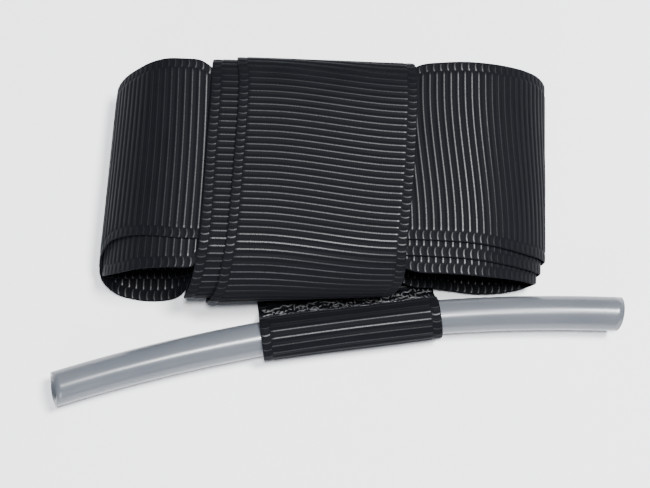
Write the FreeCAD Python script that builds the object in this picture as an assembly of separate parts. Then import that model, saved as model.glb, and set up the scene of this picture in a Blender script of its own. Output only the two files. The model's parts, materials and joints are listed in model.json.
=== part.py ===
import FreeCAD, Part
import math
import os

# A strap tourniquet put away for storage. One long grosgrain ribbon is wound into a flat
# hank of loops, turned through a corner fold on the underside, and wrapped twice round the
# hank's waist. Its last stretch comes out in front, where it is folded back and sewn into
# a sleeve that holds a short plastic tube, the handle.
#
# Working frame, in millimetres: +X to the right along the loops, +Y to the back, +Z up,
# with the table at Z = 0 and X = 0 at the middle of the hank. All sub-parts move together
# at the end, so that the origin is at the middle of the whole object's underside.

Vector = FreeCAD.Vector
UP = Vector(0, 0, 1)

# ---- the strap -------------------------------------------------------------------------
strap_width = 38.1            # 1 1/2 in ribbon
strap_thickness = 0.5
layer_gap = 0.2               # air between two layers that lie on each other

# ---- the hank of loops -----------------------------------------------------------------
hank_height = 19.0            # top of the outermost layer above the table
right_nose = 47.5             # outermost reach of the right loops
left_nose = 48.3              # outermost reach of the left loops
hank_back = 18.55             # back selvedge of the outermost right loop
right_step = 1.9              # each inner right loop stands this much further forward
left_forward = 1.2            # the left loops stand this much further forward
left_step = 0.9
free_end_reach = 6.0          # the strap's free end lies this far left of the middle

right_shoulder = 24.0         # where the top of a right loop starts to droop
right_shoulder_radius = 25.0
right_droop = 19.0            # slope of the drooping run, in degrees
left_shoulder = 31.0
left_shoulder_radius = 12.0
left_droop = 24.0
nose_toe_radius = 3.9         # the tight turn where a loop tucks under
heel_radius = 8.0
rise_length = 7.0             # the lower run leaves the table and climbs over this length
rise_margin = 2.0             # and is level again this far outside the wraps

# ---- the wraps round the waist ---------------------------------------------------------
front_bulge = 9.05            # the outer wrap bulges this far forward of the hank
back_room = 3.25              # and its back face stands this far behind the hank
inner_wrap_shift = -6.2       # middle of the inner wrap along X
outer_wrap_shift = -0.4       # middle of the outer wrap along X
wrap_front_radius = 7.5       # inside radii of the inner wrap
wrap_back_radius = 3.0
outer_wrap_end = 12.0         # Y where the outer wrap hands over to the under pass

# ---- the handle ------------------------------------------------------------------------
handle_angle = 9.0            # the handle is turned this far about the vertical, in degrees
handle_x = 5.0                # middle of the sleeve
handle_tuck = 1.3             # its right end reaches this far under the wrap's bulge
tube_length = 121.0           # along its centre line
tube_outer = 7.3
tube_wall = 1.1
tube_bend_radius = 350.0      # the tube keeps the bow of the coil that it was cut from
tube_shift = -2.2             # the tube's middle lies this far right of the sleeve's
tube_clearance = 0.09         # radial play where the bowed tube comes nearest to the sleeve
flange_gap = 0.1              # between the two layers that the stitches join
flange_length = 4.5           # doubled strap behind the sleeve
hinge_distance = 10.0         # from the sleeve's axis back to the line where the strap folds
hinge_clearance = 0.6

# ---- the stitches ----------------------------------------------------------------------
stitch_count = 20
stitch_length = 2.6
stitch_width = 0.3
stitch_height = 0.25
stitch_slant = 55.0           # zigzag angle to the seam line, in degrees
stitch_margin = 1.6           # bare strap at each end of the seam
seam_setback = 2.2            # from the back of the sleeve to the middle of the seam

layer_pitch = strap_thickness + layer_gap
half_strap = strap_width / 2
half_layer = strap_thickness / 2


# ---- flat outlines: straight runs joined by tangent arcs ---------------------------------
def tangent_path(corners):
    """Turn corners (a, b, radius) into segments (start, end, centre, turn).

    The first and last corners have no radius. A straight run has centre None. turn is +1
    for an arc to the left and -1 for one to the right.
    """
    points = [Vector(c[0], 0, c[1]) for c in corners]
    segments = []
    start = points[0]
    for before, here, after, corner in zip(points, points[1:], points[2:], corners[1:]):
        ahead = (here - before).normalize()
        onward = (after - here).normalize()
        turn_sine = ahead.x * onward.z - ahead.z * onward.x
        turn = 1 if turn_sine > 0 else -1
        reach = corner[2] * math.tan(ahead.getAngle(onward) / 2)
        arc_start = here - ahead * reach
        arc_end = here + onward * reach
        centre = arc_start + Vector(-ahead.z, 0, ahead.x) * (corner[2] * turn)
        segments.append((start, arc_start, None, 0))
        segments.append((arc_start, arc_end, centre, turn))
        start = arc_end
    segments.append((start, points[-1], None, 0))
    return [s for s in segments if (s[1] - s[0]).Length > 1e-6]


def offset_segment(segment, distance):
    """One edge of the path moved to its left by distance."""
    start, end, centre, turn = segment
    if centre is None:
        ahead = (end - start).normalize()
        aside = Vector(-ahead.z, 0, ahead.x) * distance
        return Part.LineSegment(start + aside, end + aside).toShape()
    radius = (start - centre).Length
    new_radius = radius - turn * distance
    first = centre + (start - centre) * (new_radius / radius)
    last = centre + (end - centre) * (new_radius / radius)
    middle = centre + ((start + end) * 0.5 - centre).normalize() * new_radius
    return Part.Arc(first, middle, last).toShape()


def end_cap(one_side, other_side, bulge):
    """Close an outline at one end, with a flat end or with a half round one."""
    if bulge is None:
        return Part.LineSegment(one_side, other_side).toShape()
    return Part.Arc(one_side, (one_side + other_side) * 0.5 + bulge, other_side).toShape()


def ribbon(corners, depth=0.0, centre=0.0, round_start=False):
    """A stretch of strap whose edge view follows corners, with its width along Y.

    depth moves the layer to the path's right, which is the inside of every loop here.
    """
    path = tangent_path(corners)
    left = [offset_segment(s, half_layer - depth) for s in path]
    right = [offset_segment(s, -half_layer - depth) for s in path]
    first = path[0]
    backward = (first[0] - first[1]).normalize() * half_layer
    bulge = backward if round_start else None
    start_cap = end_cap(right[0].firstVertex().Point, left[0].firstVertex().Point, bulge)
    last_cap = end_cap(left[-1].lastVertex().Point, right[-1].lastVertex().Point, None)
    wire = Part.Wire(Part.__sortEdges__(left + [last_cap] + right + [start_cap]))
    solid = Part.Face(wire).extrude(Vector(0, strap_width, 0))
    solid.translate(Vector(0, centre - half_strap, 0))
    return solid


def turned(shape, angle, x, y):
    """Turn a shape about the vertical through the origin, then move it to x, y."""
    shape.rotate(Vector(0, 0, 0), UP, angle)
    shape.translate(Vector(x, y, 0))
    return shape


# ---- heights of the layers, at their middle ----------------------------------------------
under_level = half_layer
second_wrap_level = under_level + layer_pitch
first_wrap_level = second_wrap_level + layer_pitch
fold_level = first_wrap_level + layer_pitch
top_level = hank_height - half_layer

fold_right = inner_wrap_shift + half_strap
fold_left = inner_wrap_shift - half_strap
hank_front = hank_back - strap_width
wrap_front = front_bulge - hank_front
wrap_back = back_room + hank_back


# ---- the loops of the hank ---------------------------------------------------------------
def loop(side, nose, shoulder, wrap_edge, lower_level, upper_start, lower_end):
    """Corners of a loop's outermost layer, from the top of the hank round its nose.

    shoulder is where the top starts to droop, with its radius and the droop's angle. The
    droop is rounded into the upright nose, and the nose is then tucked under.
    """
    shoulder_x, shoulder_radius, droop = shoulder
    reach = nose - half_layer
    brow = top_level - (reach - shoulder_x) * math.tan(math.radians(droop))
    brow_drop = brow - half_layer - nose_toe_radius
    brow_radius = brow_drop / math.tan(math.radians(90 - droop) / 2)
    level_again = wrap_edge + rise_margin
    corners = [
        (upper_start, top_level),
        (shoulder_x, top_level, shoulder_radius),
        (reach, brow, brow_radius),
        (reach, half_layer, nose_toe_radius),
        (level_again + rise_length, half_layer, heel_radius),
        (level_again, lower_level, heel_radius),
        (lower_end, lower_level),
    ]
    return [(side * c[0],) + tuple(c[1:]) for c in corners]


def right_loop(number):
    """Right loop 0 is the outermost and runs into the corner fold; loop 2 has the free end."""
    upper_start = -free_end_reach if number == 2 else 0.0
    lower_end = fold_right if number == 0 else 0.0
    shoulder = (right_shoulder, right_shoulder_radius, right_droop)
    wrap_edge = outer_wrap_shift + half_strap
    corners = loop(1, right_nose, shoulder, wrap_edge, fold_level, upper_start, lower_end)
    centre = hank_back - half_strap - right_step * number
    return ribbon(corners, number * layer_pitch, centre)


def left_loop(number):
    """Left loop 0 is the outer one. Both pass over the corner fold."""
    shoulder = (left_shoulder, left_shoulder_radius, left_droop)
    corners = loop(-1, left_nose, shoulder, -fold_left, fold_level + layer_pitch, 0.0, 0.0)
    centre = hank_back - half_strap - left_forward - left_step * number
    return ribbon(corners, -number * layer_pitch, centre)


def corner_fold():
    """The strap comes from the right, folds over a diagonal and leaves to the front."""
    low = first_wrap_level - half_layer
    high = fold_level + half_layer

    def triangle(inset, bottom, top):
        slip = inset * math.sqrt(2)
        outline = [
            Vector(fold_left + slip, hank_front, bottom),
            Vector(fold_right, hank_front, bottom),
            Vector(fold_right, hank_back - slip, bottom),
        ]
        face = Part.Face(Part.makePolygon(outline + outline[:1]))
        return face.extrude(UP * (top - bottom))

    slot = triangle(strap_thickness, low + strap_thickness, high - strap_thickness)
    return triangle(0.0, low, high).cut(slot)


# ---- the wraps ---------------------------------------------------------------------------
def wrap(number, start, start_level, end, end_level):
    """A turn of strap round the waist: up the front, over the top and down the back."""
    out = number * layer_pitch + half_layer
    inner_front = wrap_front - layer_pitch - strap_thickness
    inner_back = wrap_back - layer_pitch - strap_thickness
    roof = hank_height + layer_gap + out
    corners = [
        (start, start_level),
        (-inner_front - out, start_level, wrap_front_radius + out),
        (-inner_front - out, roof, wrap_front_radius + out),
        (inner_back + out, roof, wrap_back_radius + out),
        (inner_back + out, end_level, wrap_back_radius + out),
        (end, end_level),
    ]
    shift = inner_wrap_shift if number == 0 else outer_wrap_shift
    return turned(ribbon(corners), 90, shift, 0)


def inner_wrap():
    return wrap(0, hank_front, first_wrap_level, 0.0, second_wrap_level)


def outer_wrap():
    return wrap(1, 0.0, second_wrap_level, outer_wrap_end, under_level)


# ---- the handle: built about its own upright axis, then turned into place ------------------
bow_in_sleeve = half_strap ** 2 / (2 * tube_bend_radius)
bore_radius = tube_outer / 2 + bow_in_sleeve / 2 + tube_clearance
sleeve_radius = bore_radius + half_layer
tube_height = half_layer + sleeve_radius
flange_level = half_layer + strap_thickness + flange_gap
flange_end = sleeve_radius + half_layer + flange_length
sleeve_swing = half_strap * math.sin(math.radians(handle_angle))
handle_y = handle_tuck - wrap_front - sleeve_radius - half_layer - sleeve_swing


def handle_point(along, back):
    """Where a point of the handle lies: along its tube to the right, and behind its axis."""
    angle = math.radians(handle_angle)
    x = handle_x + along * math.cos(angle) - back * math.sin(angle)
    y = handle_y + along * math.sin(angle) + back * math.cos(angle)
    return Vector(x, y, 0)


def under_pass():
    """The strap's last pass under the hank, from the outer wrap to the handle's fold line."""
    fold_line = hinge_distance + half_layer + hinge_clearance
    front_left = handle_point(-half_strap, fold_line)
    front_right = handle_point(half_strap, fold_line)
    slope = math.tan(math.radians(handle_angle))
    back_left = Vector(front_left.x - (outer_wrap_end - front_left.y) * slope, outer_wrap_end, 0)
    back_right = Vector(front_right.x - (outer_wrap_end - front_right.y) * slope, outer_wrap_end, 0)
    outline = [front_left, front_right, back_right, back_left, front_left]
    return Part.Face(Part.makePolygon(outline)).extrude(UP * strap_thickness)


def handle_sleeve():
    """The strap's sewn end: forward under the tube, over it, and back down on to itself."""
    crown = half_layer + 2 * sleeve_radius
    corners = [
        (hinge_distance, half_layer),
        (-sleeve_radius, half_layer, sleeve_radius),
        (-sleeve_radius, crown, sleeve_radius),
        (sleeve_radius, crown, sleeve_radius),
        (sleeve_radius, flange_level, 2 * strap_thickness),
        (flange_end, flange_level),
    ]
    solid = ribbon(corners, round_start=True)
    return turned(solid, 90 + handle_angle, handle_x, handle_y)


def handle_stitches():
    """A zigzag of thread on the doubled strap behind the sleeve."""
    seam_line = sleeve_radius + half_layer + seam_setback
    surface = flange_level + half_layer
    seam_length = strap_width - 2 * stitch_margin
    stitches = []
    for number in range(stitch_count):
        stitch = Part.makeBox(stitch_length, stitch_width, stitch_height)
        stitch.translate(Vector(-stitch_length / 2, -stitch_width / 2, surface))
        slant = stitch_slant if number % 2 == 0 else -stitch_slant
        along = -seam_length / 2 + seam_length * (number + 0.5) / stitch_count
        place = handle_point(along, seam_line)
        stitches.append(turned(stitch, handle_angle + slant, place.x, place.y))
    return Part.makeCompound(stitches)


def handle_tube():
    """A short length of plastic tube with a slight bow, open at both ends."""
    sweep = math.degrees(tube_length / tube_bend_radius)
    first_angle = 90 + handle_angle - sweep / 2 - math.degrees(tube_shift / tube_bend_radius)
    centre = handle_point(0, bow_in_sleeve / 2 - tube_bend_radius)
    centre.z = tube_height

    def bent_rod(radius):
        rod = Part.makeTorus(tube_bend_radius, radius, Vector(0, 0, 0), UP, 0, 360, sweep)
        rod.rotate(Vector(0, 0, 0), UP, first_angle)
        rod.translate(centre)
        return rod

    return bent_rod(tube_outer / 2).cut(bent_rod(tube_outer / 2 - tube_wall))


# ---- the whole object --------------------------------------------------------------------
sub_parts = {
    "right_loop_outer": right_loop(0),
    "right_loop_middle": right_loop(1),
    "right_loop_inner": right_loop(2),
    "left_loop_outer": left_loop(0),
    "left_loop_inner": left_loop(1),
    "corner_fold": corner_fold(),
    "inner_wrap": inner_wrap(),
    "outer_wrap": outer_wrap(),
    "under_pass": under_pass(),
    "handle_sleeve": handle_sleeve(),
    "handle_stitches": handle_stitches(),
    "handle_tube": handle_tube(),
}

whole = Part.makeCompound(list(sub_parts.values())).optimalBoundingBox(False, False)
to_origin = Vector(-(whole.XMin + whole.XMax) / 2, -(whole.YMin + whole.YMax) / 2, -whole.ZMin)

os.makedirs("parts", exist_ok=True)
for name, shape in sub_parts.items():
    shape.translate(to_origin)
    shape.exportStep("parts/" + name + ".step")
    print(name, "valid", shape.isValid(), "solids", len(shape.Solids), "volume", round(shape.Volume, 1))

hinge = handle_point(0, hinge_distance) + to_origin + UP * half_layer
slide_centre = handle_point(0, bow_in_sleeve / 2 - tube_bend_radius) + to_origin
print("moved by", to_origin)
print("handle fold line passes through", hinge, "and lies at", handle_angle, "degrees to X")
print("tube slides about", slide_centre + UP * tube_height)
print("overall size", whole.XLength, whole.YLength, whole.ZLength)
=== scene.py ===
"""A strap tourniquet put away as a hank: ribbed ribbon, sewn sleeve and plastic tube handle."""
import bpy
import json
import math
import numpy as np
from mathutils import Matrix, Vector


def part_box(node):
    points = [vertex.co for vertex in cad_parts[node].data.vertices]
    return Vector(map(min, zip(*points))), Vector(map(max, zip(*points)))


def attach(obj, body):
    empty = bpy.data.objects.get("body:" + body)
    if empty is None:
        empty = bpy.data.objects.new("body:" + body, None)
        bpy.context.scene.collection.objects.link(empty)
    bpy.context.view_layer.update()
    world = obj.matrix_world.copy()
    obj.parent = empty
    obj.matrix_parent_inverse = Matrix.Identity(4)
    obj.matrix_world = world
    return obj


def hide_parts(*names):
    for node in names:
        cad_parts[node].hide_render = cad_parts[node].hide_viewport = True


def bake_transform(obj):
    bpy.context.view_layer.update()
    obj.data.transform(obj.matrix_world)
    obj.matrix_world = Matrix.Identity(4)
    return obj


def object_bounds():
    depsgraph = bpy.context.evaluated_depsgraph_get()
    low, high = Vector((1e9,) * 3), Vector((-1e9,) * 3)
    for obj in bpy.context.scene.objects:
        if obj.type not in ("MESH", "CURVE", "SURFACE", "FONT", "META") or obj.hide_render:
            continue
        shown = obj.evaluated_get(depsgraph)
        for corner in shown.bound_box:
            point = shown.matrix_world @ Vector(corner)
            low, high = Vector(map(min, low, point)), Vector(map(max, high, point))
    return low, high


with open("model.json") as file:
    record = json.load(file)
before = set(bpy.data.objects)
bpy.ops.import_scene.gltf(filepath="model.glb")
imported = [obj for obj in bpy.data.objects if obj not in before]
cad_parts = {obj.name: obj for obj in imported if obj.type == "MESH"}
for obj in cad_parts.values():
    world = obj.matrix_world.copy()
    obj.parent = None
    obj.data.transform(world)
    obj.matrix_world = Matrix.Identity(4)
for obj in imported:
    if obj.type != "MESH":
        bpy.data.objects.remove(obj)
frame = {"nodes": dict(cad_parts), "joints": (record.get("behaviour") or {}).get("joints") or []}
cad_low, cad_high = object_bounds()

MM = 0.001

# ---- the strap ---------------------------------------------------------------------------
STRAP_WIDTH = 38.1
RIB_PITCH = 1.5
ROWS_PER_RIB = 6
CORE_HALF = 0.10              # half the thickness in the grooves between ribs
RIB_RISE = 0.17               # a rib's crest above the groove, on each side
SELVEDGE = 2.0                # width of the woven edge, one row of loops between the ribs
RIB_OVERLAP = 0.05            # how far the ribs reach into the woven edge,
RIB_END = 0.25                # and the length over which they rise there
EDGE_HALF = 0.03              # half the thickness of the very edge
EDGE_LOOP_RISE = 0.13
EDGE_LOOP_HALF = 1.05         # half the length of an edge loop, across the strap
EDGE_LOOP_BOW = 0.16          # how far its ends turn along the strap, in rib pitches
BOW_FADE = 6.0                # at a stretch's ends its ribs straighten over this length,
SLACK_FADE = 8.0              # and its cloth lies even over this one
DRIFT_SPAN = (0.15, 0.95)     # the part of the width over which ribs drift
CURVE_SAMPLES = 40            # points worked out between two control rows

# ---- the handle --------------------------------------------------------------------------
HANDLE_ANGLE = math.radians(9.0)
FOLD_BACK = 10.0              # the fold line lies this far behind the tube
TUBE_LIFT = 4.5               # the tube's axis above the table
TUBE_RADIUS = 3.65
TUBE_WALL = 1.1
TUBE_BOW = 350.0              # radius of the slight bow that the tube has

# ---- places taken from the frame -----------------------------------------------------------
OUTER_WRAP_SHIFT = -0.4       # the outer wrap's middle, left of the hank's own middle
HANK_BACK = 18.55             # the outermost loop's back edge, behind the hank's middle


def hank_middle():
    """The point of the table below the middle of the hank, in metres."""
    wrap_low, wrap_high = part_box("outer_wrap")
    _, loop_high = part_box("right_loop_outer")
    x = (wrap_low.x + wrap_high.x) / 2 - OUTER_WRAP_SHIFT * MM
    y = loop_high.y - HANK_BACK * MM
    return np.array([x, y, cad_low.z])


def joint(name):
    """The frame's own row for a joint."""
    return next(j for j in frame["joints"] if j["name"] == name)


MIDDLE = hank_middle()
FOLD = (np.array(joint("handle_swing")["pos_m"]) - MIDDLE) / MM
SLIDE = joint("tube_slide")


# ---- curves ---------------------------------------------------------------------------------
def smooth_curve(controls):
    """A smooth curve through the control rows: distances along it, and its rows of numbers.

    Each control row holds one or more points. Distances are taken along their mean.
    """
    controls = np.asarray(controls, float)
    middle = controls.reshape(len(controls), -1, 3).mean(axis=1)
    gaps = np.sqrt(np.linalg.norm(np.diff(middle, axis=0), axis=1))
    knots = np.concatenate([[0.0], np.cumsum(gaps)])
    slopes = np.gradient(controls, knots, axis=0)
    dense = []
    for k in range(len(controls) - 1):
        span = knots[k + 1] - knots[k]
        t = np.linspace(0, 1, CURVE_SAMPLES, endpoint=False)[:, None]
        dense.append(
            controls[k] * (2 * t**3 - 3 * t**2 + 1)
            + slopes[k] * span * (t**3 - 2 * t**2 + t)
            + controls[k + 1] * (3 * t**2 - 2 * t**3)
            + slopes[k + 1] * span * (t**3 - t**2)
        )
    dense = np.vstack(dense + [controls[-1:]])
    middle = dense.reshape(len(dense), -1, 3).mean(axis=1)
    lengths = np.linalg.norm(np.diff(middle, axis=0), axis=1)
    return np.concatenate([[0.0], np.cumsum(lengths)]), dense


def unit(vectors):
    """The same directions, each one long."""
    return vectors / np.maximum(np.linalg.norm(vectors, axis=-1, keepdims=True), 1e-12)


# ---- the ribbon's own surface -----------------------------------------------------------------
def crest(phase):
    """1 at the top of a rib, 0 in the groove between two."""
    return 1 - (2 * (phase % 1.0) - 1) ** 2


def dome(distance, half):
    """1 in the middle of a round back, 0 at its half length and beyond."""
    return np.sqrt(np.clip(1 - (distance / half) ** 2, 0, 1))


def relief(along, from_edge):
    """Half the ribbon's thickness: cross ribs, and edge loops staggered between them."""
    phase = along / RIB_PITCH
    ribs = crest(phase) * np.clip((from_edge - SELVEDGE + RIB_OVERLAP) / RIB_END, 0, 1)
    aside = (from_edge - SELVEDGE / 2) / (SELVEDGE / 2)
    loops = crest(phase + 0.5 - EDGE_LOOP_BOW * aside**2)
    loops = loops * dome(from_edge - SELVEDGE / 2, EDGE_LOOP_HALF)
    return CORE_HALF + RIB_RISE * ribs + EDGE_LOOP_RISE * loops


def edge_columns(body_columns):
    """Distances from one edge: close together in the woven edges, wide between them."""
    edge = [0, 0.1, 0.3, 0.6, 0.9, 1.2, 1.5, 1.75, 1.95, 2.08, 2.25, 2.8]
    inside = np.linspace(edge[-1], STRAP_WIDTH - edge[-1], body_columns + 2)[1:-1]
    return np.concatenate([edge, inside, STRAP_WIDTH - np.array(edge[::-1])])


def placed(name, data):
    """A new object in the scene that holds data."""
    piece = bpy.data.objects.new(name, data)
    bpy.context.scene.collection.objects.link(piece)
    return piece


def make_mesh(name, points, faces, values=None):
    """A smooth piece from points and faces, with numbers kept at its points."""
    mesh = bpy.data.meshes.new(name)
    mesh.from_pydata(points.tolist(), [], faces)
    for key, numbers in (values or {}).items():
        layer = mesh.attributes.new(key, "FLOAT", "POINT")
        layer.data.foreach_set("value", np.asarray(numbers, np.float32))
    mesh.shade_smooth()
    return placed(name, mesh)


def slab_faces(rows, columns):
    """Quads of a closed slab whose top grid is followed by its bottom grid."""
    top = np.arange(rows * columns).reshape(rows, columns)
    bottom = top + rows * columns
    faces = []

    def quads(a, b, c, d):
        faces.extend(np.stack([a, b, c, d], axis=-1).reshape(-1, 4).tolist())

    quads(top[:-1, :-1], top[:-1, 1:], top[1:, 1:], top[1:, :-1])
    quads(bottom[:-1, :-1], bottom[1:, :-1], bottom[1:, 1:], bottom[:-1, 1:])
    quads(top[:-1, 0], top[1:, 0], bottom[1:, 0], bottom[:-1, 0])
    quads(top[:-1, -1], bottom[:-1, -1], bottom[1:, -1], top[1:, -1])
    quads(top[0, :-1], bottom[0, :-1], bottom[0, 1:], top[0, 1:])
    quads(top[-1, :-1], top[-1, 1:], bottom[-1, 1:], bottom[-1, :-1])
    return faces


def slack(along, across, seed, amount):
    """A slow unevenness of soft cloth, in mm: a long and a short wave that cross."""
    long_wave = np.sin(along / 7.1 + across / 11.0 + seed)
    short_wave = np.sin(along / 4.3 - across / 6.5 + 2.1 * seed)
    return amount * 0.5 * (long_wave + short_wave)


def eased(value, low, high):
    """0 below low, 1 above high, and a soft rise between them."""
    t = np.clip((value - low) / (high - low), 0, 1)
    return t * t * (3 - 2 * t)


def falling(value, high, low):
    """0 above high, 1 below low, and a soft rise between them."""
    return eased(-value, -high, -low)


def ribbon(name, controls, start=0, body_columns=12, loose=0.05, bow=0.0, drift=0.0):
    """A stretch of ribbon between its two edges.

    Each control row is (left edge point, right edge point), in mm from the hank's middle.
    start shifts the ribs by that many mesh rows, so that stacked layers differ. bow moves
    the middle of each rib along the strap, and drift its right part, in mm.
    """
    reach, curve = smooth_curve([list(a) + list(b) for a, b in controls])
    step = RIB_PITCH / ROWS_PER_RIB
    along = np.arange(int(reach[-1] / step) + 1) * step
    columns = edge_columns(body_columns)
    share = columns / STRAP_WIDTH
    from_end = np.minimum(along, along[-1] - along)
    turned = np.clip(from_end / BOW_FADE, 0, 1)
    lines = []
    for part in share:
        ahead = bow * math.sin(math.pi * part) + drift * eased(part, *DRIFT_SPAN)
        place = along + turned * ahead
        row = np.column_stack([np.interp(place, reach, numbers) for numbers in curve.T])
        lines.append(row[:, :3] * (1 - part) + row[:, 3:] * part)
    surface = np.stack(lines, axis=1)
    down = np.gradient(surface, axis=0)
    over = np.gradient(surface, share, axis=1)
    outward = unit(np.cross(over, down))
    along_grid, across_grid = np.meshgrid(along + start * step, columns, indexing="ij")
    fade = np.clip(from_end / SLACK_FADE, 0, 1)[:, None]
    uneven = slack(along_grid, across_grid, start, loose) * fade
    surface = surface + outward * uneven[:, :, None]
    half = relief(along_grid, np.minimum(across_grid, STRAP_WIDTH - across_grid))
    half[:, [0, -1]] = EDGE_HALF
    top = surface + outward * half[:, :, None]
    bottom = surface - outward * half[:, :, None]
    points = np.concatenate([top.reshape(-1, 3), bottom.reshape(-1, 3)]) * MM + MIDDLE
    values = {
        "strap_along": np.tile(along_grid.ravel(), 2),
        "strap_across": np.tile(across_grid.ravel(), 2),
    }
    piece = make_mesh(name, points, slab_faces(len(along), len(columns)), values)
    piece["strap_length"] = float(along[-1])
    return piece


def declare(piece, body, nodes):
    """Hide the CAD nodes that a piece stands for, and hang it on what it rides on."""
    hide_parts(*nodes)
    if body:
        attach(piece, body)


# ---- the loops ----------------------------------------------------------------------------------
# Each row of an outermost loop: X and height of the strap, front and back edge, and how far
# the wraps press its back edge down.
RIGHT_OUTLINE = [
    (0, 18.75, -19.1, 17.3, 1), (11, 18.75, -19.1, 17.3, 1), (15.5, 18.75, -19.1, 17.7, 0.9),
    (19.5, 18.7, -19.1, 19.9, 0.3), (24.5, 18.6, -19.2, 20.6, 0), (29.5, 18.3, -19.3, 21.0, 0),
    (34, 17.3, -19.5, 21.2, 0), (38.4, 15.2, -19.7, 21.5, 0), (42.4, 12.3, -19.8, 21.8, 0),
    (45.8, 8.6, -19.6, 21.8, 0), (47.5, 5.2, -19.5, 21.0, 0), (46.6, 2.3, -19.7, 19.7, 0),
    (43.9, 0.6, -20, 19.2, 0), (39, 0.3, -20.5, 18.8, 0), (33, 0.3, -20.8, 18.4, 0),
    (27.5, 0.45, -20.8, 17.9, 0), (23.5, 1.6, -20.6, 17.7, 0), (19, 2.35, -20.4, 17.6, 0),
    (13, 2.35, -20.4, 17.5, 0),
]
LEFT_OUTLINE = [
    (0, 18.75, -20.2, 17.3, 1), (-13, 18.75, -20.2, 17.3, 1), (-22, 18.75, -20.2, 17.0, 1),
    (-24, 18.75, -20.2, 17.4, 0.8), (-25.6, 18.75, -20.2, 18.6, 0.4),
    (-26.7, 18.75, -20.2, 19.2, 0.1), (-27.8, 18.75, -20.2, 19.6, 0),
    (-31, 18.7, -20.1, 19.8, 0), (-35, 18.0, -19.6, 20, 0), (-38.8, 16.5, -19.2, 19.7, 0),
    (-42.4, 13.7, -18.9, 19.2, 0), (-45.7, 10, -19.4, 18.6, 0), (-47.7, 6.3, -22.3, 17.3, 0),
    (-47.5, 3.1, -25.7, 15.9, 0), (-44.9, 1.0, -27.9, 15.8, 0), (-41, 0.35, -29.0, 16, 0),
    (-36, 0.3, -29.3, 16.5, 0), (-31.5, 0.6, -28.4, 17, 0), (-27.5, 2.4, -25, 17.4, 0),
    (-22, 3.05, -22.5, 17.5, 0), (-10, 3.05, -21, 17.5, 0), (0, 3.05, -21, 17.5, 0),
]
UNDER_WRAP_FRONT = -22.4      # the foremost that a deeper layer reaches under the wraps
# The front edge of the second left loop, at each row of the outermost one.
LEFT_INNER_FRONT = [UNDER_WRAP_FRONT] * 4 + [
    -23.1, -25.8, -26.2, -26.3, -26.3, -26.3, -26.3, -26, -25.4,
    -25, -24.8, -24.6, -24.5, -24.3, -23.5, -22, -21, -21,
]
LAYER_STEP = 0.8              # from one layer of strap to the next
FRONT_STEP = 3.3              # each deeper right layer's front edge stands this far forward,
BACK_STEP = 3.1               # and each deeper layer's back edge, right or left, this far
FRONT_LIFT = 0.18             # how far each deeper layer's front edge rises, clear of the wraps
HALF_HEIGHT = 9               # the runs above this are the hank's top
BEND = (30, 46)               # the bends lie between these distances from the hank's middle
CLEAR_RIGHT = (12, 18)        # the loops come out from under the wraps between these, right
CLEAR_LEFT = (25, 28)         # and left of the middle
RIGHT_BEND_TURN = 0.5         # how far right of its front edge a bend's back edge lies
LEFT_BEND_TURN = 1.2
LOWER_RUN_BACK = 0.9          # each deeper right layer's front edge draws back by this much,
LOWER_RUN = (8, 3)            # as it comes down between these heights to its lower run,
LOWER_END_FORWARD = 0.6       # and by this much it comes forward at the right end of that run,
LOWER_END = (28, 38)          # between these distances from the hank's middle
LOWER_END_HEIGHT = 2          # and in full below this height
# Each right loop: how far its bend is drawn in, and how far its front edge is drawn back there.
RIGHT_BANDS = [
    ("right_outer_band", 0.0, 0.0),
    ("right_middle_band", 0.25, 0.4),
    ("right_inner_band", 0.45, 1.4),
]
LEFT_BANDS = ["left_outer_band", "left_inner_band"]


def inset(outline, depth, side):
    """The outline of a layer that lies depth mm inside the outermost one."""
    points = np.array(outline, float)[:, :2]
    ahead = np.gradient(points, axis=0)
    ahead /= np.linalg.norm(ahead, axis=1)[:, None]
    inward = np.column_stack([ahead[:, 1], -ahead[:, 0]]) * side
    return points + inward * depth


def right_loop(number):
    """The right loops stand further forward the deeper they lie."""
    name, drawn_in, drawn_back = RIGHT_BANDS[number]
    controls = []
    middle = inset(RIGHT_OUTLINE, LAYER_STEP * number, 1)
    for (x, z), (_, _, front, back, pressed) in zip(middle, RIGHT_OUTLINE):
        out = eased(x, *BEND)
        x -= drawn_in * out
        fore = front - FRONT_STEP * number + drawn_back * out
        low_end = falling(z, HALF_HEIGHT, LOWER_END_HEIGHT)
        fore -= LOWER_END_FORWARD * number * eased(x, *LOWER_END) * low_end
        fore += LOWER_RUN_BACK * number * falling(z, *LOWER_RUN)
        clear = eased(x, *CLEAR_RIGHT)
        fore = max(fore, UNDER_WRAP_FRONT + (fore - UNDER_WRAP_FRONT) * clear)
        lift = FRONT_LIFT * number * float(z > HALF_HEIGHT) * (1 - out) * clear
        back_edge = (x + RIGHT_BEND_TURN * out, back - BACK_STEP * number, z - pressed)
        controls.append((back_edge, (x, fore, z + lift)))
    return ribbon(name, controls, start=2 * number, drift=2.5)


def left_loop(number):
    """The left loops are slack at the front, where the outer one's lower run swings forward."""
    controls = []
    middle = inset(LEFT_OUTLINE, LAYER_STEP * number, -1)
    for (x, z), outer_row, inner_front in zip(middle, LEFT_OUTLINE, LEFT_INNER_FRONT):
        _, _, front, back, pressed = outer_row
        out = eased(-x, *BEND)
        fore = inner_front if number else front
        clear = eased(-x, *CLEAR_LEFT)
        lift = FRONT_LIFT * number * float(z > HALF_HEIGHT) * (1 - out) * clear
        back_edge = (x + LEFT_BEND_TURN * out, back - BACK_STEP * number, z - pressed)
        controls.append(((x, fore, z + lift), back_edge))
    return ribbon(LEFT_BANDS[number], controls, start=3 * number, bow=-0.35)


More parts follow.
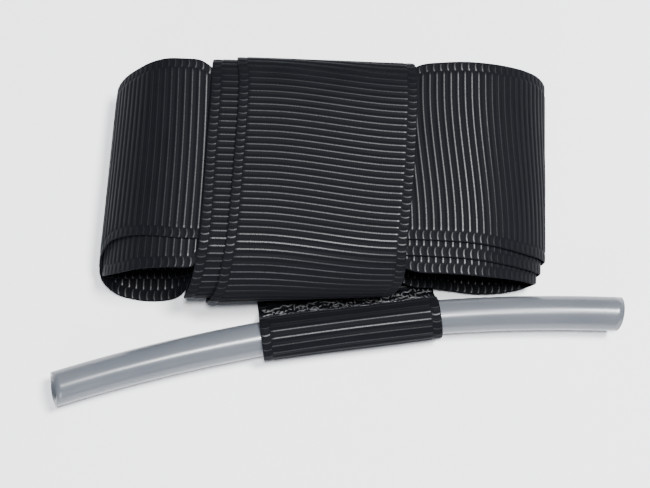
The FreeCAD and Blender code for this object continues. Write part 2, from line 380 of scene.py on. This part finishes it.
# ---- the wraps ------------------------------------------------------------------------------------
# Each row: front-to-back place and height of the left edge, of the right edge, then their X.
OUTER_WRAP = [
    (0, 0.95, 0, 0.95, -19.5, 18.3), (-12, 0.95, -12, 0.95, -20.8, 17.2),
    (-20, 1.15, -19.5, 1.1, -22.6, 15.3), (-26, 2.9, -24.6, 2.6, -24, 14),
    (-30.2, 6.4, -27.8, 6.2, -24.7, 13.8), (-31.3, 10.2, -28.6, 10.2, -23.8, 14.8),
    (-29.6, 14.6, -27.5, 14.6, -22, 16.3), (-25.7, 18.2, -24.6, 18.2, -20.9, 16.9),
    (-20.9, 19.95, -20.4, 19.95, -20.1, 17), (-15, 20.15, -15, 20.15, -19.7, 17.5),
    (-4, 20.15, -4, 20.15, -19.3, 18.4), (8, 20.15, 8, 20.15, -18.9, 18.8),
    (12, 20, 12, 20, -18.9, 18.9), (15.7, 19.5, 15.5, 19.5, -19, 18.8),
    (18.5, 18.6, 18.3, 18.6, -19.3, 18.7), (20.6, 17.2, 20.3, 17.2, -19.6, 18.5),
    (21.7, 15.2, 21.4, 15.2, -19.9, 18.2), (22.1, 12.5, 21.8, 12.5, -20, 18.1),
    (22.1, 8.5, 21.8, 8.5, -20, 18.1), (21.3, 4.3, 21.1, 4.3, -19.8, 18.2),
    (19.1, 1.5, 19, 1.5, -19.6, 18.3), (15.8, 0.45, 15.8, 0.45, -19.5, 18.5),
    (12, 0.25, 12, 0.25, -19.5, 18.6),
]
INNER_WRAP = [
    (-12, 1.65, -12, 1.65, -26.8, 11.2), (-19.3, 1.8, -19, 1.8, -27.8, 10.2),
    (-25.2, 3.5, -24.2, 3.3, -28.8, 9.2), (-29.4, 6.7, -27.2, 6.4, -29.4, 8.6),
    (-30.5, 10.2, -27.9, 10.2, -28.9, 9.1), (-28.9, 14.3, -27, 14.2, -27.5, 10.4),
    (-25.3, 17.6, -24.3, 17.5, -26.4, 11.5), (-20.8, 19.25, -20.4, 19.25, -25.7, 12.2),
    (-15, 19.45, -15, 19.45, -25.4, 12.5), (-4, 19.45, -4, 19.45, -25.2, 12.7),
    (8, 19.45, 8, 19.45, -24.9, 13),
    (12, 19.3, 12, 19.3, -24.8, 13.1), (15.5, 18.85, 15.2, 18.85, -24.9, 13),
    (18.1, 18, 17.7, 18, -25, 12.9), (20.1, 16.7, 19.6, 16.7, -25, 12.9),
    (21.2, 14.9, 20.6, 14.9, -25, 12.9), (21.6, 12.4, 21, 12.4, -25, 12.9),
    (21.6, 8.6, 21, 8.6, -25, 12.9), (20.9, 4.8, 20.4, 4.8, -25, 12.9),
    (18.6, 2.3, 18.4, 2.3, -25, 12.9), (15, 1.2, 15, 1.2, -25, 12.9),
    (10, 0.95, 10, 0.95, -25, 12.9),
]


def wrap(name, table, start):
    """A turn of strap round the middle of the hank."""
    controls = [((xl, yl, zl), (xr, yr, zr)) for yl, zl, yr, zr, xl, xr in table]
    return ribbon(name, controls, start=start, drift=-2.5)


# ---- the handle -------------------------------------------------------------------------------------
HANDLE_X = FOLD[0] + FOLD_BACK * math.sin(HANDLE_ANGLE)
HANDLE_Y = FOLD[1] - FOLD_BACK * math.cos(HANDLE_ANGLE)
SLEEVE_SLID = 1.1             # the sleeve strays this far right of the strap's own line,
STRAY_FROM, STRAY_TO = 30, 10  # between these distances behind the tube
SLEEVE_LOOSE = 0.16
# The last stretch from under the hank: places behind the tube's axis, and height.
SLEEVE_PATH = [
    (46.6, 0.25), (38, 0.25), (30, 0.25), (22, 0.25), (15, 0.25), (11, 0.25), (8, 0.25), (4.5, 0.27),
    (1.5, 0.4), (-1.9, 0.7), (-4.1, 2.2), (-4.75, 4.5), (-4.0, 6.8), (-2.0, 8.2), (0.2, 8.6),
    (2.2, 7.9), (3.5, 6.3), (4.2, 4.3), (5.0, 2.5), (6.2, 1.35), (7.6, 0.98), (9.1, 0.93),
]


def handle_point(along, back, height):
    """A place on the handle: along its tube to the right, and behind its axis."""
    x = HANDLE_X + along * math.cos(HANDLE_ANGLE) - back * math.sin(HANDLE_ANGLE)
    y = HANDLE_Y + along * math.sin(HANDLE_ANGLE) + back * math.cos(HANDLE_ANGLE)
    return (x, y, height)


def handle_strap():
    """The last stretch: under the hank, round the tube and back down on to itself."""
    half = STRAP_WIDTH / 2
    controls = []
    for back, height in SLEEVE_PATH:
        slid = SLEEVE_SLID * falling(back, STRAY_FROM, STRAY_TO)
        left, right = slid - half, slid + half
        controls.append((handle_point(left, back, height), handle_point(right, back, height)))
    return ribbon("handle_band", controls, start=0, loose=SLEEVE_LOOSE, bow=0.2)


def frame_point(point):
    """A place in the frame, in metres, from one in mm from the hank's middle."""
    return Vector((np.array(point) * MM + MIDDLE).tolist())


SEAM_ROWS = (4.3, 5.1, 5.9, 6.7)  # rows of stitches, behind the tube's axis
SEAM_HALF = 17.8              # half the length of a row
SEAM_LIFT = 0.3               # the thread lies this far above the middle of the cloth
SEAM_WAVER = 0.35             # how far a row strays from its line
GUIDE_POINTS = 60
# The pinched sleeve: places behind the tube's axis, its height there, and how steep it is.
PINCH_BACK = (3.5, 4.2, 5.0, 6.2, 7.6)
PINCH_HEIGHT = (6.3, 4.3, 2.5, 1.35, 0.98)
PINCH_SLOPE = (2.9, 2.5, 1.6, 0.6, 0.2)


def seam_guides():
    """Lines along the pinched sleeve that the stitches follow, with the cloth's outward side."""
    verts, edges, outward = [], [], []
    for row, back in enumerate(SEAM_ROWS):
        height = float(np.interp(back, PINCH_BACK, PINCH_HEIGHT)) + SEAM_LIFT
        slope = float(np.interp(back, PINCH_BACK, PINCH_SLOPE))
        lean = Vector(handle_point(0, slope, 1)) - Vector(handle_point(0, 0, 0))
        for k in range(GUIDE_POINTS):
            along = SLEEVE_SLID - SEAM_HALF + 2 * SEAM_HALF * k / (GUIDE_POINTS - 1)
            wave = SEAM_WAVER * math.sin(along * 0.9 + 2.0 * row)
            verts.append(frame_point(handle_point(along, back + wave, height - slope * wave)))
            outward.extend(lean.normalized())
            if k:
                edges.append((len(verts) - 2, len(verts) - 1))
    mesh = bpy.data.meshes.new("seam_guides")
    mesh.from_pydata(verts, edges, [])
    mesh.attributes.new("outward", "FLOAT_VECTOR", "POINT").data.foreach_set("vector", outward)
    return placed("seam_guides", mesh)


def stitch_tree(thread):
    """Slanting stitches along the guides, each a short bent bead of thread."""
    tree = bpy.data.node_groups.new("Zigzag stitches", "GeometryNodeTree")
    face = tree.interface
    face.new_socket(name="Geometry", in_out="INPUT", socket_type="NodeSocketGeometry")
    for name in ("Spacing", "Length", "Thickness", "Slant", "Unevenness"):
        face.new_socket(name=name, in_out="INPUT", socket_type="NodeSocketFloat")
    face.new_socket(name="Seed", in_out="INPUT", socket_type="NodeSocketInt")
    face.new_socket(name="Geometry", in_out="OUTPUT", socket_type="NodeSocketGeometry")
    link = tree.links.new
    given = tree.nodes.new("NodeGroupInput").outputs

    def node(kind, **settings):
        made = tree.nodes.new(kind)
        for key, value in settings.items():
            setattr(made, key, value)
        return made

    def uneven(low, high, shift):
        value = node("FunctionNodeRandomValue", data_type="FLOAT")
        value.inputs[2].default_value = low
        value.inputs[3].default_value = high
        seed = node("FunctionNodeIntegerMath", operation="ADD")
        link(given["Seed"], seed.inputs[0])
        seed.inputs[1].default_value = shift
        link(seed.outputs[0], value.inputs["Seed"])
        return value.outputs[1]

    line = node("GeometryNodeMeshToCurve")
    link(given["Geometry"], line.inputs[0])
    spread = node("GeometryNodeResampleCurve", mode="LENGTH")
    link(line.outputs[0], spread.inputs["Curve"])
    link(given["Spacing"], spread.inputs["Length"])

    ahead = node("FunctionNodeAlignRotationToVector", axis="X")
    link(node("GeometryNodeInputTangent").outputs[0], ahead.inputs["Vector"])
    side = node("GeometryNodeInputNamedAttribute", data_type="FLOAT_VECTOR")
    side.inputs["Name"].default_value = "outward"
    upright = node("FunctionNodeAlignRotationToVector", axis="Z", pivot_axis="X")
    link(ahead.outputs[0], upright.inputs["Rotation"])
    link(side.outputs["Attribute"], upright.inputs["Vector"])

    parity = math_node(tree, "MODULO", node("GeometryNodeInputIndex").outputs[0], 2.0)
    way = math_node(tree, "SUBTRACT", math_node(tree, "MULTIPLY", parity, 2.0), 1.0)
    turn = math_node(tree, "MULTIPLY", way, given["Slant"])
    stray = math_node(tree, "MULTIPLY", uneven(-1.0, 1.0, 0), given["Unevenness"])
    spin = node("FunctionNodeAxisAngleToRotation")
    spin.inputs["Axis"].default_value = (0, 0, 1)
    link(math_node(tree, "ADD", turn, stray), spin.inputs["Angle"])
    slanted = node("FunctionNodeRotateRotation", rotation_space="LOCAL")
    link(upright.outputs[0], slanted.inputs[0])
    link(spin.outputs[0], slanted.inputs[1])

    bead = node("GeometryNodeMeshUVSphere")
    bead.inputs["Segments"].default_value = 7
    bead.inputs["Rings"].default_value = 6
    bead.inputs["Radius"].default_value = 0.5
    size = node("ShaderNodeCombineXYZ")
    link(math_node(tree, "MULTIPLY", given["Length"], uneven(0.55, 1.25, 1)), size.inputs[0])
    link(given["Thickness"], size.inputs[1])
    link(given["Thickness"], size.inputs[2])

    laid = node("GeometryNodeInstanceOnPoints")
    link(spread.outputs[0], laid.inputs["Points"])
    link(bead.outputs["Mesh"], laid.inputs["Instance"])
    link(slanted.outputs[0], laid.inputs["Rotation"])
    link(size.outputs[0], laid.inputs["Scale"])
    whole = node("GeometryNodeRealizeInstances")
    link(laid.outputs[0], whole.inputs[0])
    dressed = node("GeometryNodeSetMaterial")
    dressed.inputs["Material"].default_value = thread
    link(whole.outputs[0], dressed.inputs[0])
    link(dressed.outputs[0], tree.nodes.new("NodeGroupOutput").inputs[0])
    return tree


def seam(thread):
    """The rows of hand-run zigzags that close the sleeve."""
    tree = stitch_tree(thread)
    guides = seam_guides()
    stitching = guides.modifiers.new("stitches", "NODES")
    stitching.node_group = tree
    sizes = {
        "Spacing": 0.95 * MM,
        "Length": 1.5 * MM,
        "Thickness": 0.33 * MM,
        "Slant": 0.7,
        "Unevenness": 0.7,
        "Seed": 7,
    }
    for item in tree.interface.items_tree:
        if item.name in sizes:
            stitching[item.identifier] = sizes[item.name]
    evaluated = guides.evaluated_get(bpy.context.evaluated_depsgraph_get())
    mesh = bpy.data.meshes.new_from_object(evaluated)
    mesh.name = "sleeve_seam"
    mesh.shade_smooth()
    bpy.data.objects.remove(guides)
    return placed("sleeve_seam", mesh)


LEFT_CUT_SHORT = 1.0          # the left end stops this far inside the tube's box
LEFT_CUT_LEAN = (0.3, 0.9)    # how far right each cut leans, at its back and at its top
RIGHT_CUT_LEAN = (0.25, 0.75)
CUT_FADE = 6                  # a high power keeps the lean near the end


def tube():
    """The plastic tube, with its cuts a little out of square."""
    centre = np.array(SLIDE["pos_m"], float)
    low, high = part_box("handle_tube")
    stations, around = 90, 56
    radius = TUBE_BOW * MM
    first = math.atan2(low.y + TUBE_RADIUS * MM - centre[1], low.x - centre[0])
    last = math.acos(min(1.0, (high.x - centre[0]) / radius))
    verts = []
    for wall in (TUBE_RADIUS, TUBE_RADIUS - TUBE_WALL):
        for i in range(stations + 1):
            t = i / stations
            for j in range(around):
                spin = 2 * math.pi * j / around
                up = math.sin(spin)
                side = math.cos(spin)
                cut_left = LEFT_CUT_SHORT + LEFT_CUT_LEAN[0] * side + LEFT_CUT_LEAN[1] * up
                cut_right = RIGHT_CUT_LEAN[0] * side + RIGHT_CUT_LEAN[1] * up
                cut = cut_left * (1 - t) ** CUT_FADE + cut_right * t**CUT_FADE
                angle = first + (last - first) * t - cut * MM / radius
                reach = radius + wall * side * MM
                x = centre[0] + reach * math.cos(angle)
                y = centre[1] + reach * math.sin(angle)
                verts.append((x, y, cad_low.z + (TUBE_LIFT + wall * up) * MM))
    faces = []
    ring = (stations + 1) * around
    for i in range(stations):
        for j in range(around):
            a = i * around + j
            b = i * around + (j + 1) % around
            faces.append((a, b, b + around, a + around))
            faces.append((ring + a, ring + a + around, ring + b + around, ring + b))
    for j in range(around):
        k = (j + 1) % around
        faces.append((j, ring + j, ring + k, k))
        a, b = stations * around + j, stations * around + k
        faces.append((a, b, ring + b, ring + a))
    return make_mesh("plastic_tube", np.array(verts), faces)


# ---- materials --------------------------------------------------------------------------------------
def new_material(name):
    """A new material, its nodes and links, and its shader."""
    material = bpy.data.materials.new(name)
    material.use_nodes = True
    nodes = material.node_tree.nodes
    return material, nodes, material.node_tree.links, nodes["Principled BSDF"]


def math_node(tree, operation, first, second=None):
    """The result of a sum on numbers or sockets."""
    node = tree.nodes.new("ShaderNodeMath")
    node.operation = operation
    for socket, value in zip(node.inputs, (first, second)):
        if value is None:
            continue
        if isinstance(value, (int, float)):
            socket.default_value = value
        else:
            tree.links.new(value, socket)
    return node.outputs[0]


def smooth_step(tree, value, low, high):
    """1 where value is below low, easing to 0 above high."""
    node = tree.nodes.new("ShaderNodeMapRange")
    node.interpolation_type = "SMOOTHSTEP"
    node.inputs["From Min"].default_value = low
    node.inputs["From Max"].default_value = high
    node.inputs["To Min"].default_value = 1.0
    node.inputs["To Max"].default_value = 0.0
    tree.links.new(value, node.inputs["Value"])
    return node.outputs[0]


CREST_SHINE = (0.03, 0.125)   # off a rib's crest, in rib pitches: worn bright, and no longer so
CREST_ENDS = (0.02, 0.16)     # from the end of a rib or edge loop, in mm: dull, and bright
EDGE_DIM = 0.35               # how much duller the edge loops are than the ribs
THREAD_PITCH = 0.42           # between the fine threads that run along the strap
GLANCE = (0.66, 0.04)         # shine of a crest that faces the eye, and of one that turns away,
GLANCE_FACING = (0.1, 0.38)   # at these two values of Facing
# The cloth's dye, unworn and worn, and the tube's plastic in its dark and pale clouds.
DYE = ((0.0033, 0.0036, 0.0047), (0.0052, 0.0054, 0.0067))
MILK = ((0.092, 0.102, 0.118), (0.12, 0.128, 0.144))


def weave_group():
    """The ribbon's threads: where the worn crests of the ribs and edge loops lie, and fuzz."""
    tree = bpy.data.node_groups.new("Ribbon weave", "ShaderNodeTree")
    face = tree.interface
    for name in ("Across", "Along", "Rib pitch", "Strap width", "Selvedge", "Thread pitch"):
        face.new_socket(name=name, in_out="INPUT", socket_type="NodeSocketFloat")
    for name in ("Crest", "Height", "Wear"):
        face.new_socket(name=name, in_out="OUTPUT", socket_type="NodeSocketFloat")
    given = tree.nodes.new("NodeGroupInput").outputs
    result = tree.nodes.new("NodeGroupOutput").inputs

    far_edge = math_node(tree, "SUBTRACT", given["Strap width"], given["Across"])
    from_edge = math_node(tree, "MINIMUM", given["Across"], far_edge)
    in_edge = math_node(tree, "LESS_THAN", from_edge, given["Selvedge"])
    half_edge = math_node(tree, "MULTIPLY", given["Selvedge"], 0.5)
    aside = math_node(tree, "DIVIDE", math_node(tree, "SUBTRACT", from_edge, half_edge), half_edge)
    bow = math_node(tree, "MULTIPLY", math_node(tree, "MULTIPLY", aside, aside), -EDGE_LOOP_BOW)
    shift = math_node(tree, "MULTIPLY", in_edge, math_node(tree, "ADD", bow, 0.5))
    pitches = math_node(tree, "DIVIDE", given["Along"], given["Rib pitch"])
    turn = math_node(tree, "FRACT", math_node(tree, "ADD", pitches, shift))
    off_crest = math_node(tree, "ABSOLUTE", math_node(tree, "SUBTRACT", turn, 0.5))
    line = smooth_step(tree, off_crest, *CREST_SHINE)
    to_ends = math_node(tree, "ABSOLUTE", math_node(tree, "SUBTRACT", from_edge, given["Selvedge"]))
    to_ends = math_node(tree, "MINIMUM", to_ends, from_edge)
    whole = math_node(tree, "SUBTRACT", 1.0, smooth_step(tree, to_ends, *CREST_ENDS))
    dim = math_node(tree, "SUBTRACT", 1.0, math_node(tree, "MULTIPLY", in_edge, EDGE_DIM))
    crest_mask = math_node(tree, "MULTIPLY", math_node(tree, "MULTIPLY", line, whole), dim)

    place = tree.nodes.new("ShaderNodeCombineXYZ")
    tree.links.new(given["Across"], place.inputs[0])
    tree.links.new(given["Along"], place.inputs[1])

    def noise(scale, detail):
        node = tree.nodes.new("ShaderNodeTexNoise")
        node.inputs["Scale"].default_value = scale
        node.inputs["Detail"].default_value = detail
        tree.links.new(place.outputs[0], node.inputs["Vector"])
        return node.outputs[0]

    fuzz = noise(3.4, 2.0)
    slow = noise(0.16, 2.0)
    thread_turns = math_node(tree, "DIVIDE", given["Across"], given["Thread pitch"])
    threads = math_node(tree, "SINE", math_node(tree, "MULTIPLY", thread_turns, 2 * math.pi))
    broken = math_node(tree, "ADD", math_node(tree, "MULTIPLY", fuzz, 1.9), 0.05)
    height = math_node(tree, "ADD", math_node(tree, "MULTIPLY", threads, 0.2), fuzz)
    wear = math_node(tree, "ADD", math_node(tree, "MULTIPLY", fuzz, 0.5), slow)
    tree.links.new(math_node(tree, "MULTIPLY", crest_mask, broken), result["Crest"])
    tree.links.new(height, result["Height"])
    tree.links.new(wear, result["Wear"])
    return tree


def scaled(nodes, links, value, low, high, from_low=0.0, from_high=1.0):
    """low where value is from_low, high where it is from_high."""
    node = nodes.new("ShaderNodeMapRange")
    node.inputs["From Min"].default_value = from_low
    node.inputs["From Max"].default_value = from_high
    node.inputs["To Min"].default_value = low
    node.inputs["To Max"].default_value = high
    links.new(value, node.inputs["Value"])
    return node.outputs[0]


def blend_colours(nodes, links, factor, first, second):
    """first where factor is 0, second where it is 1."""
    node = nodes.new("ShaderNodeMix")
    node.data_type = "RGBA"
    node.inputs["A"].default_value = (*first, 1)
    node.inputs["B"].default_value = (*second, 1)
    links.new(factor, node.inputs["Factor"])
    return node.outputs["Result"]


def strap_material(weave, name="Black grosgrain"):
    """Nearly black cloth whose thread crests shine."""
    material, nodes, links, shader = new_material(name)
    group = nodes.new("ShaderNodeGroup")
    group.node_tree = weave
    for key, socket in (("strap_across", "Across"), ("strap_along", "Along")):
        stored = nodes.new("ShaderNodeAttribute")
        stored.attribute_name = key
        links.new(stored.outputs["Fac"], group.inputs[socket])
    group.inputs["Rib pitch"].default_value = RIB_PITCH
    group.inputs["Strap width"].default_value = STRAP_WIDTH
    group.inputs["Selvedge"].default_value = SELVEDGE
    group.inputs["Thread pitch"].default_value = THREAD_PITCH
    wear = group.outputs["Wear"]
    links.new(blend_colours(nodes, links, wear, *DYE), shader.inputs["Base Color"])
    links.new(scaled(nodes, links, wear, 0.42, 0.6, 0.45, 1.05), shader.inputs["Roughness"])
    facing = nodes.new("ShaderNodeLayerWeight")
    facing.inputs["Blend"].default_value = 0.5
    glance = scaled(nodes, links, facing.outputs["Facing"], *GLANCE, *GLANCE_FACING)
    shine = math_node(material.node_tree, "MULTIPLY", group.outputs["Crest"], glance)
    links.new(shine, shader.inputs["Coat Weight"])
    bump = nodes.new("ShaderNodeBump")
    bump.inputs["Strength"].default_value = 0.25
    bump.inputs["Distance"].default_value = 0.00006
    links.new(group.outputs["Height"], bump.inputs["Height"])
    links.new(bump.outputs[0], shader.inputs["Normal"])
    shader.inputs["Specular IOR Level"].default_value = 0.02
    shader.inputs["Coat Roughness"].default_value = 0.42
    shader.inputs["Coat IOR"].default_value = 1.65
    shader.inputs["Sheen Weight"].default_value = 0.035
    shader.inputs["Sheen Roughness"].default_value = 0.4
    shader.inputs["Sheen Tint"].default_value = (0.85, 0.88, 1.0, 1)
    return material


def thread_material():
    """Dark thread, glossier than the cloth."""
    material, _, _, shader = new_material("Sewing thread")
    shader.inputs["Base Color"].default_value = (0.1, 0.1, 0.105, 1)
    shader.inputs["Roughness"].default_value = 0.36
    return material


def tube_material():
    """Grey plastic with a milky cloud in it and a gloss that comes and goes."""
    material, nodes, links, shader = new_material("Milky tube")
    place = nodes.new("ShaderNodeTexCoord")
    cloud = nodes.new("ShaderNodeTexNoise")
    cloud.inputs["Scale"].default_value = 70.0
    cloud.inputs["Detail"].default_value = 2.0
    links.new(place.outputs["Object"], cloud.inputs["Vector"])
    tone = blend_colours(nodes, links, cloud.outputs[0], *MILK)
    links.new(tone, shader.inputs["Base Color"])
    haze = scaled(nodes, links, cloud.outputs[0], 0.2, 0.3)
    links.new(haze, shader.inputs["Roughness"])
    shader.inputs["Transmission Weight"].default_value = 0.15
    shader.inputs["Subsurface Weight"].default_value = 0.3
    shader.inputs["Subsurface Radius"].default_value = (0.002, 0.002, 0.0022)
    shader.inputs["IOR"].default_value = 1.45
    shader.inputs["Specular IOR Level"].default_value = 0.85
    return material


# ---- the pieces -------------------------------------------------------------------------------------
weave = weave_group()
grosgrain = strap_material(weave)
thread = thread_material()
milky = tube_material()

for number, node in enumerate(("right_loop_outer", "right_loop_middle", "right_loop_inner")):
    band = right_loop(number)
    band.data.materials.append(grosgrain)
    declare(band, "hank", [node])
for number, node in enumerate(("left_loop_outer", "left_loop_inner")):
    band = left_loop(number)
    band.data.materials.append(grosgrain)
    declare(band, "hank", [node])

inner = wrap("inner_wrap_band", INNER_WRAP, 2)
inner.data.materials.append(grosgrain)
declare(inner, "hank", ["inner_wrap"])
outer = wrap("outer_wrap_band", OUTER_WRAP, 0)
outer.data.materials.append(grosgrain)
declare(outer, "hank", ["outer_wrap"])

tail = handle_strap()
tail.data.materials.append(grosgrain)
declare(tail, None, ["under_pass", "handle_sleeve"])
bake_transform(tail)

stitches = seam(thread)
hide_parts("handle_stitches")
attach(stitches, "handle")

pipe = tube()
pipe.data.materials.append(milky)
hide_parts("handle_tube")
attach(pipe, "tube")

plain = strap_material(weave, "Black grosgrain, folded")
fold = frame["nodes"]["corner_fold"]
fold.data.materials.clear()
fold.data.materials.append(plain)


# ---- floor, light and camera ------------------------------------------------------------------------
FLOOR_HALF = 3.0
FLOOR_GAP = 0.00005           # between the floor and the strap that lies on it
LIGHT_DISTANCE = 0.9
PALE_BLUE = (0.98, 0.985, 1.0)
CAMERA_AIM = (0.2, -17.5, 8.0)
CAMERA_DISTANCE = 0.300
CAMERA_ELEVATION = math.radians(73.9)
CAMERA_ROLL = math.radians(1.6)
SENSOR_WIDTH = 36.0
FOCAL_SHARE = 1405 / 650      # the focal length as a share of the frame's width


def floor():
    """A plain pale table, just under the strap."""
    mesh = bpy.data.meshes.new("floor")
    z = cad_low.z - FLOOR_GAP
    corners = [(FLOOR_HALF * x, FLOOR_HALF * y, z) for x, y in ((-1, -1), (1, -1), (1, 1), (-1, 1))]
    mesh.from_pydata(corners, [], [(0, 1, 2, 3)])
    piece = placed("floor", mesh)
    material, _, _, shader = new_material("Pale floor")
    shader.inputs["Base Color"].default_value = (0.97, 0.975, 0.985, 1)
    shader.inputs["Roughness"].default_value = 0.6
    shader.inputs["Specular IOR Level"].default_value = 0.2
    mesh.materials.append(material)


def softbox(name, direction, size, power, colour):
    """A round soft light that shines on the hank from a direction."""
    light = bpy.data.lights.new(name, "AREA")
    light.shape = "DISK"
    light.size = size
    light.energy = power
    light.color = colour
    lamp = placed(name, light)
    aim = Vector(direction).normalized()
    lamp.location = aim * LIGHT_DISTANCE
    lamp.rotation_euler = aim.to_track_quat("Z", "Y").to_euler()


def studio():
    """Dim sky light, and three soft lights."""
    world = bpy.data.worlds.new("Studio")
    bpy.context.scene.world = world
    world.use_nodes = True
    sky = world.node_tree.nodes["Background"]
    sky.inputs["Color"].default_value = (0.8, 0.86, 1.0, 1)
    sky.inputs["Strength"].default_value = 0.22
    softbox("key", (0.38, 0.12, 0.92), size=0.24, power=18.0, colour=PALE_BLUE)
    softbox("overhead", (0.04, -0.12, 1.0), size=0.16, power=10.0, colour=PALE_BLUE)
    softbox("front fill", (-0.2, -0.85, 0.34), size=0.5, power=4.5, colour=(0.9, 0.94, 1.0))


def camera():
    """The eye, high in front of the hank and turned a little about its own line of sight."""
    aim = frame_point(CAMERA_AIM)
    toward = Vector((0, -math.cos(CAMERA_ELEVATION), math.sin(CAMERA_ELEVATION)))
    right = Vector((1, 0, 0))
    up = toward.cross(right)
    tilted_right = right * math.cos(CAMERA_ROLL) + up * math.sin(CAMERA_ROLL)
    tilted_up = toward.cross(tilted_right)
    lens = bpy.data.cameras.new("camera")
    lens.sensor_width = SENSOR_WIDTH
    lens.lens = FOCAL_SHARE * SENSOR_WIDTH
    lens.clip_start = 0.01
    eye = placed("camera", lens)
    eye.location = aim + toward * CAMERA_DISTANCE
    turn = Matrix((tilted_right, tilted_up, toward)).transposed()
    eye.rotation_euler = turn.to_euler()
    bpy.context.scene.camera = eye


floor()
studio()
camera()
